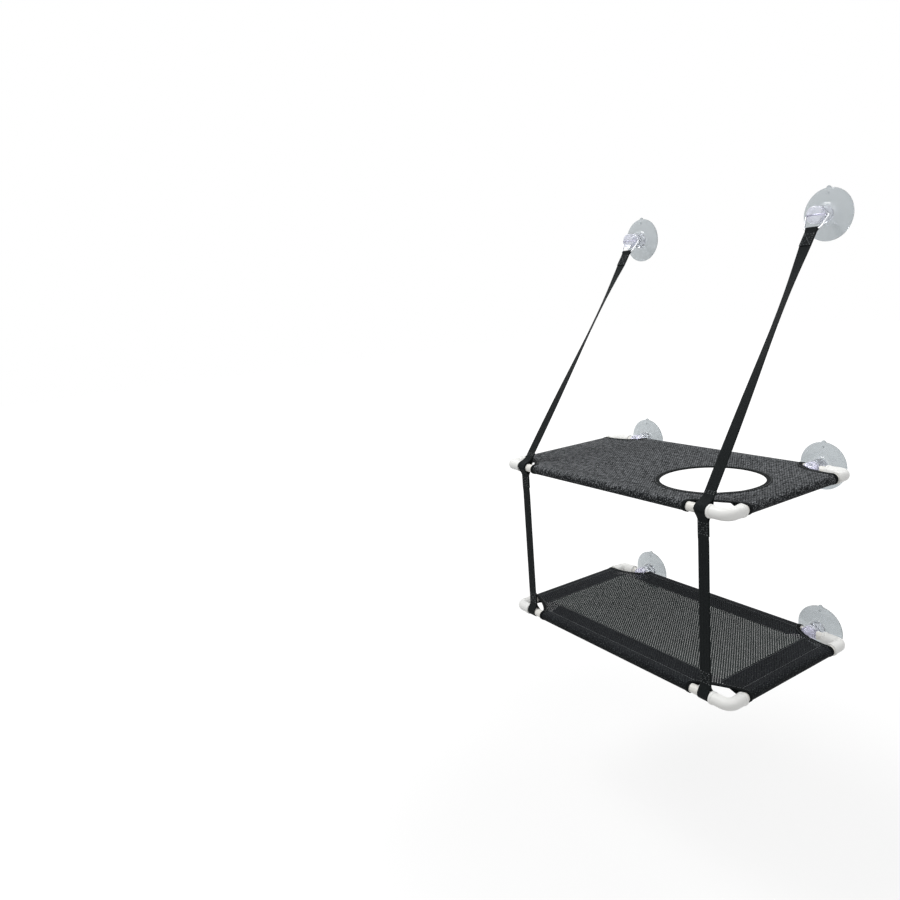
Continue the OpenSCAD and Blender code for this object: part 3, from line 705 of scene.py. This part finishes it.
def makeStitchTree():
    # a short round stitch at every pitch along each row, lying on the surface that the row's "up" gives
    tree = bpy.data.node_groups.new("stitch rows", "GeometryNodeTree")
    kinds = {"Geometry": "NodeSocketGeometry", "Seed": "NodeSocketInt", "Material": "NodeSocketMaterial"}
    names = {}
    for name in ("Geometry", "Pitch", "Length", "Radius", "Lean", "Seed", "Material"):
        socket = tree.interface.new_socket(name, in_out="INPUT", socket_type=kinds.get(name, "NodeSocketFloat"))
        names[name] = socket.identifier
    tree.interface.new_socket("Geometry", in_out="OUTPUT", socket_type="NodeSocketGeometry")
    given = addNode(tree, "NodeGroupInput").outputs
    rows = addNode(tree, "GeometryNodeMeshToCurve", None, {0: given["Geometry"]})
    spots = addNode(tree, "GeometryNodeResampleCurve", {"mode": "LENGTH"},
                    {"Curve": rows.outputs[0], "Length": given["Pitch"]})
    up = addNode(tree, "GeometryNodeInputNamedAttribute", {"data_type": "FLOAT_VECTOR"}, {"Name": "up"})
    way = addNode(tree, "GeometryNodeInputTangent")
    flat = addNode(tree, "FunctionNodeAxesToRotation", {"primary_axis": "Z", "secondary_axis": "X"},
                   {"Primary Axis": up.outputs["Attribute"], "Secondary Axis": way.outputs[0]})
    least = addNode(tree, "ShaderNodeMath", {"operation": "MULTIPLY"}, {0: given["Lean"], 1: -1})
    lean = addNode(tree, "FunctionNodeRandomValue", {"data_type": "FLOAT"},
                   {2: least.outputs[0], 3: given["Lean"], "Seed": given["Seed"]})
    about = addNode(tree, "ShaderNodeCombineXYZ", None, {"Z": lean.outputs[1]})
    twist = addNode(tree, "FunctionNodeEulerToRotation", None, {0: about.outputs[0]})
    turned = addNode(tree, "FunctionNodeRotateRotation", {"rotation_space": "LOCAL"},
                     {0: flat.outputs[0], 1: twist.outputs[0]})
    half = addNode(tree, "ShaderNodeMath", {"operation": "MULTIPLY"}, {0: given["Length"], 1: 0.5})
    size = addNode(tree, "ShaderNodeCombineXYZ", None,
                   {"X": half.outputs[0], "Y": given["Radius"], "Z": given["Radius"]})
    ball = addNode(tree, "GeometryNodeMeshUVSphere", None, {"Segments": 8, "Rings": 5, "Radius": 1.0})
    thread = addNode(tree, "GeometryNodeTransform", None, {"Geometry": ball.outputs[0], "Scale": size.outputs[0]})
    sewn = addNode(tree, "GeometryNodeInstanceOnPoints", None,
                   {"Points": spots.outputs[0], "Instance": thread.outputs[0], "Rotation": turned.outputs[0]})
    real = addNode(tree, "GeometryNodeRealizeInstances", None, {0: sewn.outputs[0]})
    done = addNode(tree, "GeometryNodeSetMaterial", None,
                   {"Geometry": real.outputs[0], "Material": given["Material"]})
    addNode(tree, "NodeGroupOutput", None, {0: done.outputs[0]})
    return tree, names


stitchTree, stitchNames = makeStitchTree()


def sew(name, rows):
    # rows: lists of (place in millimetres, up)
    points, edges, ups = [], [], []
    for row in rows:
        edges += [(len(points) + i, len(points) + i + 1) for i in range(len(row) - 1)]
        points += [Vector(place) * mm for place, up in row]
        ups += [c for place, up in row for c in up]
    data = bpy.data.meshes.new(name + "_rows")
    data.from_pydata(points, edges, [])
    data.attributes.new("up", "FLOAT_VECTOR", "POINT").data.foreach_set("vector", ups)
    piece = bpy.data.objects.new(name, data)
    bpy.context.scene.collection.objects.link(piece)
    sewing = piece.modifiers.new("stitches", "NODES")
    sewing.node_group = stitchTree
    for key in ("Pitch", "Length", "Radius"):
        sewing[stitchNames[key]] = stitch[key] * mm
    for key in ("Lean", "Seed"):
        sewing[stitchNames[key]] = stitch[key]
    sewing[stitchNames["Material"]] = threadMaterial
    solid = bpy.data.meshes.new_from_object(piece.evaluated_get(bpy.context.evaluated_depsgraph_get()))
    piece.modifiers.remove(sewing)
    piece.data = solid
    solid.polygons.foreach_set("use_smooth", [True] * len(solid.polygons))
    return piece


def deckSeam(level, spots, proud):
    return [((x, y, sheetHeight(x, y, level) + proud), (0, 0, 1)) for x, y in spots]


def straightSeam(level, a, b, steps):
    spots = [tuple(a[k] + (b[k] - a[k]) * i / steps for k in (0, 1)) for i in range(steps + 1)]
    return deckSeam(level, spots, seamPlaces["proud"])


def hemSeams(level):
    # two rows along each sleeve: one beside the rail, and one that holds the hem down
    low, high = frontY + deck["frontBite"][1] + 1, windowY - deck["windowBite"][1] - 1
    rows = []
    for inset in (seamPlaces["besideRail"], deck["hem"][level] - seamPlaces["hemIn"]):
        for row, y in (("front", frontY + inset), ("window", windowY - inset)):
            reach = sideX - deck[f"{row}Bite"][0] - 1
            rows.append(straightSeam(level, (-reach, y), (reach, y), 80))
        for x in (inset - sideX, sideX - inset):
            rows.append(straightSeam(level, (x, low), (x, high), 50))
    return rows


spots = [spot for spot, way in roundHole(seamPlaces["holeOut"], 120)]
seams["upper"].append(deckSeam("upper", spots + spots[:1], seamPlaces["tapeProud"]))
for level, (piece, size, flatArea) in covers.items():
    sewing = sew(f"{level}_deck_stitches", seams[level] + hemSeams(level))
    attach(sewing, f"{level}_deck")
print("decks sewn")


# Straps, in millimetres and degrees. The slanted ones are measured along from the upper front rail's axis.
# With the decks folded up, the slack strap hangs between the deck's top side and the glass: below "split"
# it has to start turning, right under the sewn loop, to pass the front rail on that side.
strap = {
    "x": 228, "topX": 214, "rise": 448, "bailDrop": 28, "sewn": 34, "roll": -30, "split": 38, "hugged": 12,
    "loopGap": 0.3, "layerGap": 0.12, "wire": 1.5,
    "saddles": ((1, 54, 122), (-1, -54, -80)), "saddleFrom": 2.4, "teardrop": 1.65,
    "seamHalf": 8, "topBox": (32, 11), "dropBox": (22, 41), "bars": (27.5, 30, 32.5),
}
slantAngle = math.atan2(strap["rise"], deck["depth"])
slantLength = math.hypot(strap["rise"], deck["depth"]) - strap["bailDrop"]
splitAlong = slantLength - strap["split"]
ringMiddle = deck["tube"] + strap["loopGap"] + web["thick"] / 2
hugRadius = ringMiddle + web["thick"] + strap["loopGap"]
barRadius = strap["wire"] + strap["loopGap"] + web["thick"] / 2
layerStep = (web["thick"] + strap["layerGap"]) / 2
layerLap = (web["thick"] - strap["layerGap"]) / 2
sewnEnd = deck["tube"] + strap["loopGap"] + web["thick"] + strap["sewn"]
sideways = Vector((1, 0, 0))


def webSection():
    # flat, with edges that thin out into the selvedges
    half, thick = web["width"] / 2, web["thick"] / 2
    top = []
    for i in range(13):
        a = -half + web["width"] * i / 12
        share = abs(a) / half
        top.append((a * (1 - 0.012 * share ** 8), thick * (1 - 0.45 * share ** 10)))
    return top[::-1] + [(a, -b) for a, b in top]


def arcPoints(radius, fromAngle, toAngle, steps):
    turns = [math.radians(fromAngle + (toAngle - fromAngle) * i / steps) for i in range(steps + 1)]
    return [(radius * math.cos(a), radius * math.sin(a)) for a in turns]


def bowPoints(a, b, c, steps):
    # from a to c, pulled towards b
    points = []
    for i in range(steps + 1):
        s = i / steps
        points.append(tuple(a[k] * (1 - s) ** 2 + 2 * b[k] * s * (1 - s) + c[k] * s * s for k in (0, 1)))
    return points


def stepsBetween(a, b, steps):
    return [a + (b - a) * i / steps for i in range(steps)]


def rowsLength(rows):
    return sum((b[0] - a[0]).length for a, b in zip(rows, rows[1:]))


def slantRows(side, points, rolls, shifts):
    # points: (along the strap, over it); shifts: 0 at the foot's place across the deck, 1 at the top's
    way = Vector((0, math.cos(slantAngle), math.sin(slantAngle)))
    over = Vector((0, -math.sin(slantAngle), math.cos(slantAngle)))
    start = Vector((side * strap["x"], frontY, levels["upper"]))
    shift = side * (strap["topX"] - strap["x"])
    rows = []
    for i, (along, above) in enumerate(points):
        a, b = neighbours(points, i)
        run, lift = b[0] - a[0], b[1] - a[1]
        normal = (over * run - way * lift) / math.hypot(run, lift)
        roll = math.radians(rolls[i])
        across = sideways * math.cos(roll) + normal * math.sin(roll)
        up = normal * math.cos(roll) - sideways * math.sin(roll)
        place = start + way * along + over * above + sideways * (shift * shifts[i])
        rows.append((place, across, up))
    return rows


def slantRun(fromAlong, toAlong, steps):
    top, foot = slantLength - strap["sewn"], strap["sewn"]
    points, rolls, shifts = [], [], []
    for i in range(steps + 1):
        along = fromAlong + (toAlong - fromAlong) * i / steps
        s = min(1, max(0, (top - along) / (top - foot)))
        points.append((along, layerLap * s - layerStep * (1 - s)))
        rolls.append(strap["roll"] * math.sin(math.pi * (1 - s) ** 2))
        shifts.append(1 - s)
    return points, rolls, shifts


def slantSpot(side, along, over, above, shift):
    place, across, up = slantRows(side, [(along + 1, above), (along, above), (along - 1, above)],
                                  [0] * 3, [shift] * 3)[1]
    return place + across * over, -up


def boxSeam(spot, low, high):
    # a square of stitches with a cross in it
    half = strap["seamHalf"]
    corners = [spot(low, -half), spot(low, half), spot(high, half), spot(high, -half)]
    rows = [[corners[i], corners[(i + 1) % 4]] for i in range(4)]
    return rows + [[corners[0], corners[2]], [corners[1], corners[3]]]


def joinPieces(name, parts, material):
    shape = bmesh.new()
    for part in parts:
        shape.from_mesh(part.data)
        data = part.data
        bpy.data.objects.remove(part)
        bpy.data.meshes.remove(data)
    return addPiece(name, shape, material, None)


def loopPoints():
    # the loop round the bail's bar, with rows set close together where the bail swings
    start = slantLength - barRadius * 3
    laps = stepsBetween(slantLength - strap["sewn"], start, 12)
    bow = bowPoints((start, layerStep), (slantLength - barRadius * 2, layerStep),
                    (slantLength - barRadius * 0.5, barRadius * 0.87), 6)
    return ([(along, layerStep) for along in laps] + bow
            + [(slantLength + a, b) for a, b in arcPoints(barRadius, 120, -120, 20)[1:]]
            + [(along, -above) for along, above in bow[-2::-1]] + [(along, -layerStep) for along in laps[::-1]])


def saddlePoints(sign, fromAngle, toAngle):
    # one layer of the foot, which runs on to hug the drop strap's loop
    lap, start, turn = layerLap * sign, hugRadius * strap["saddleFrom"], math.radians(fromAngle)
    meet = (hugRadius * math.cos(turn), hugRadius * math.sin(turn))
    return ([(along, lap) for along in stepsBetween(strap["sewn"], start, 5)]
            + bowPoints((start, lap), (hugRadius / math.cos(turn), lap), meet, 8)
            + arcPoints(hugRadius, fromAngle, toAngle, 10)[1:])


def makeSlantStrap(sd):
    side = 1 if sd == "right" else -1
    section = webSection()
    loop = loopPoints()
    points, rolls, shifts = slantRun(slantLength - strap["sewn"], splitAlong, 2)
    loopRows = slantRows(side, loop + points[1:], [0] * len(loop) + rolls[1:], [1] * len(loop) + shifts[1:])
    top = sweep(f"slant_strap_loop_{sd}", loopRows, section, False, webMaterial, None)
    topBox = boxSeam(lambda along, over: slantSpot(side, along, over, layerStep + web["thick"] / 2, 1),
                     *(slantLength - down for down in strap["topBox"]))
    topSeam = sew(f"slant_strap_top_stitches_{sd}", topBox)
    for piece in (top, topSeam):
        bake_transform(piece)
    runRows = slantRows(side, *slantRun(splitAlong, strap["sewn"], 72))
    runOn = rowsLength(loopRows)
    main = sweep(f"slant_strap_{sd}_run", runRows, section, False, webMaterial, None, runOn)
    layers = [saddlePoints(*saddle) for saddle in strap["saddles"]]
    parts = [sweep("part", slantRows(side, layer, [0] * len(layer), [0] * len(layer)), section, False,
                   webMaterial, None, start)
             for layer, start in zip(layers, (runOn + rowsLength(runRows), 0))]
    foot = joinPieces(f"slant_strap_{sd}_foot", parts, webMaterial)
    bars = [[slantSpot(side, along, over, layerLap + web["thick"] / 2, 0)
             for over in (-strap["seamHalf"], strap["seamHalf"])] for along in strap["bars"]]
    footSeam = sew(f"slant_strap_foot_stitches_{sd}", bars)
    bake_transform(main)
    # the foot goes on hugging the drop strap's loop, which doesn't turn with the deck
    for piece in (foot, footSeam):
        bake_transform(piece)
    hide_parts(f"slant_strap_{sd}")


def railLoop(height, sign):
    # teardrop loop round a rail, as (over, height) from the tail behind round to the front
    tip = (ringMiddle + web["thick"] / 2) * strap["teardrop"]
    openTo = math.degrees(math.acos(ringMiddle / tip))
    ring = arcPoints(ringMiddle, 90 - openTo, -270 + openTo, 36)
    into = bowPoints((layerStep, tip + 2), (layerStep, tip), ring[0], 5)[1:-1]
    out = bowPoints(ring[-1], (-layerStep, tip), (-layerStep, tip + 2), 5)[1:]
    points = [(layerStep, sewnEnd), (layerStep, tip + 3)] + into + ring + out + [(-layerStep, sewnEnd)]
    return [(over, height + sign * z) for over, z in points]


def makeDropStrap(sd):
    side = 1 if sd == "right" else -1
    x = side * strap["x"]
    between = [(-layerStep * (1 - s), sewnEnd + (deck["spacing"] - 2 * sewnEnd) * s)
               for s in stepsBetween(0, 1, 20)[1:]]
    path = railLoop(levels["lower"], 1) + between + railLoop(levels["upper"], -1)[::-1]
    rows = []
    for i, (over, z) in enumerate(path):
        a, b = neighbours(path, i)
        run = Vector((0, b[0] - a[0], b[1] - a[1])).normalized()
        rows.append((Vector((x, frontY + over, z)), sideways, sideways.cross(run)))
    piece = sweep(f"drop_strap_{sd}_web", rows, webSection(), False, webMaterial, f"drop_{sd}")
    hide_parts(f"drop_strap_{sd}")
    rows = []
    low, high = strap["dropBox"]
    for ends in ((low, high), (deck["spacing"] - high, deck["spacing"] - low)):
        for face in (-1, 1):
            y = frontY + face * (layerStep + web["thick"] / 2)
            rows += boxSeam(lambda z, over: (Vector((x + over, y, z)), Vector((0, face, 0))), *ends)
    sewing = sew(f"drop_strap_{sd}_stitches", rows)
    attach(sewing, f"drop_{sd}")


for sd in ("left", "right"):
    makeSlantStrap(sd)
    makeDropStrap(sd)
print("straps made")


# Metres and watts. The floor turns white to the eye away from the perch, and keeps a soft shadow under it.
stage = {"floor": -0.42, "size": 12, "paper": "#dcdcdc", "white": 1.15, "under": (0, -0.2),
         "shadeTo": 0.4, "whiteFrom": 1.5, "shadeWhite": 0.7, "sky": 0.32, "aim": (0, -0.2, 0.35)}
lights = {
    "key": {"place": (-1.1, -1.3, 3.1), "size": 1.6, "power": 62},
    "fill": {"place": (2.3, -1.2, 2.3), "size": 2.0, "power": 20},
    "back": {"place": (0.4, 1.6, 2.8), "size": 1.6, "power": 24},
}


def seenByEye(tree):
    # 1 for what the camera sees, straight, through clear plastic or in polished metal
    rays = addNode(tree, "ShaderNodeLightPath")
    seen = rays.outputs["Is Camera Ray"]
    for kind in ("Is Transmission Ray", "Is Glossy Ray"):
        either = addNode(tree, "ShaderNodeMath", {"operation": "MAXIMUM"}, {0: seen, 1: rays.outputs[kind]})
        seen = either.outputs[0]
    return seen


def makeFloor():
    shape = bmesh.new()
    bmesh.ops.create_grid(shape, x_segments=1, y_segments=1, size=stage["size"])
    bmesh.ops.translate(shape, verts=shape.verts, vec=(0, 0, stage["floor"]))
    data = bpy.data.meshes.new("floor")
    shape.to_mesh(data)
    shape.free()
    floor = bpy.data.objects.new("floor", data)
    bpy.context.scene.collection.objects.link(floor)
    material, tree = startMaterial("studio floor")
    place = addNode(tree, "ShaderNodeTexCoord")
    away = addNode(tree, "ShaderNodeVectorMath", {"operation": "DISTANCE"},
                   {0: place.outputs["Object"], 1: (*stage["under"], stage["floor"])})
    plain = addNode(tree, "ShaderNodeMapRange", {"interpolation_type": "SMOOTHSTEP"},
                    {"Value": away.outputs["Value"], "From Min": stage["shadeTo"],
                     "From Max": stage["whiteFrom"], "To Min": stage["shadeWhite"], "To Max": 1.0})
    glow = addNode(tree, "ShaderNodeMath", {"operation": "MULTIPLY"}, {0: seenByEye(tree), 1: plain.outputs[0]})
    paper = addNode(tree, "ShaderNodeBsdfDiffuse", None, {"Color": toLinear(stage["paper"])})
    white = addNode(tree, "ShaderNodeEmission", None, {"Color": (1, 1, 1, 1), "Strength": stage["white"]})
    both = addNode(tree, "ShaderNodeMixShader", None,
                   {0: glow.outputs[0], 1: paper.outputs[0], 2: white.outputs[0]})
    addNode(tree, "ShaderNodeOutputMaterial", None, {"Surface": both.outputs[0]})
    data.materials.append(material)


def makeLight(name, place, size, power):
    data = bpy.data.lights.new(name, "AREA")
    data.size = size
    data.energy = power
    lamp = bpy.data.objects.new(name, data)
    turn = (Vector(stage["aim"]) - Vector(place)).to_track_quat("-Z", "Y")
    lamp.matrix_world = Matrix.Translation(place) @ turn.to_matrix().to_4x4()
    bpy.context.scene.collection.objects.link(lamp)


def makeWorld():
    world = bpy.data.worlds.new("studio")
    bpy.context.scene.world = world
    world.use_nodes = True
    tree = world.node_tree
    tree.nodes.clear()
    strength = addNode(tree, "ShaderNodeMapRange", None,
                       {"Value": seenByEye(tree), "To Min": stage["sky"], "To Max": 1.0})
    sky = addNode(tree, "ShaderNodeBackground", None, {"Color": (1, 1, 1, 1), "Strength": strength.outputs[0]})
    addNode(tree, "ShaderNodeOutputWorld", None, {"Surface": sky.outputs[0]})


makeFloor()
for name, light in lights.items():
    makeLight(name, **light)
makeWorld()
bpy.context.scene.view_settings.view_transform = "Standard"
print("stage and light ready")
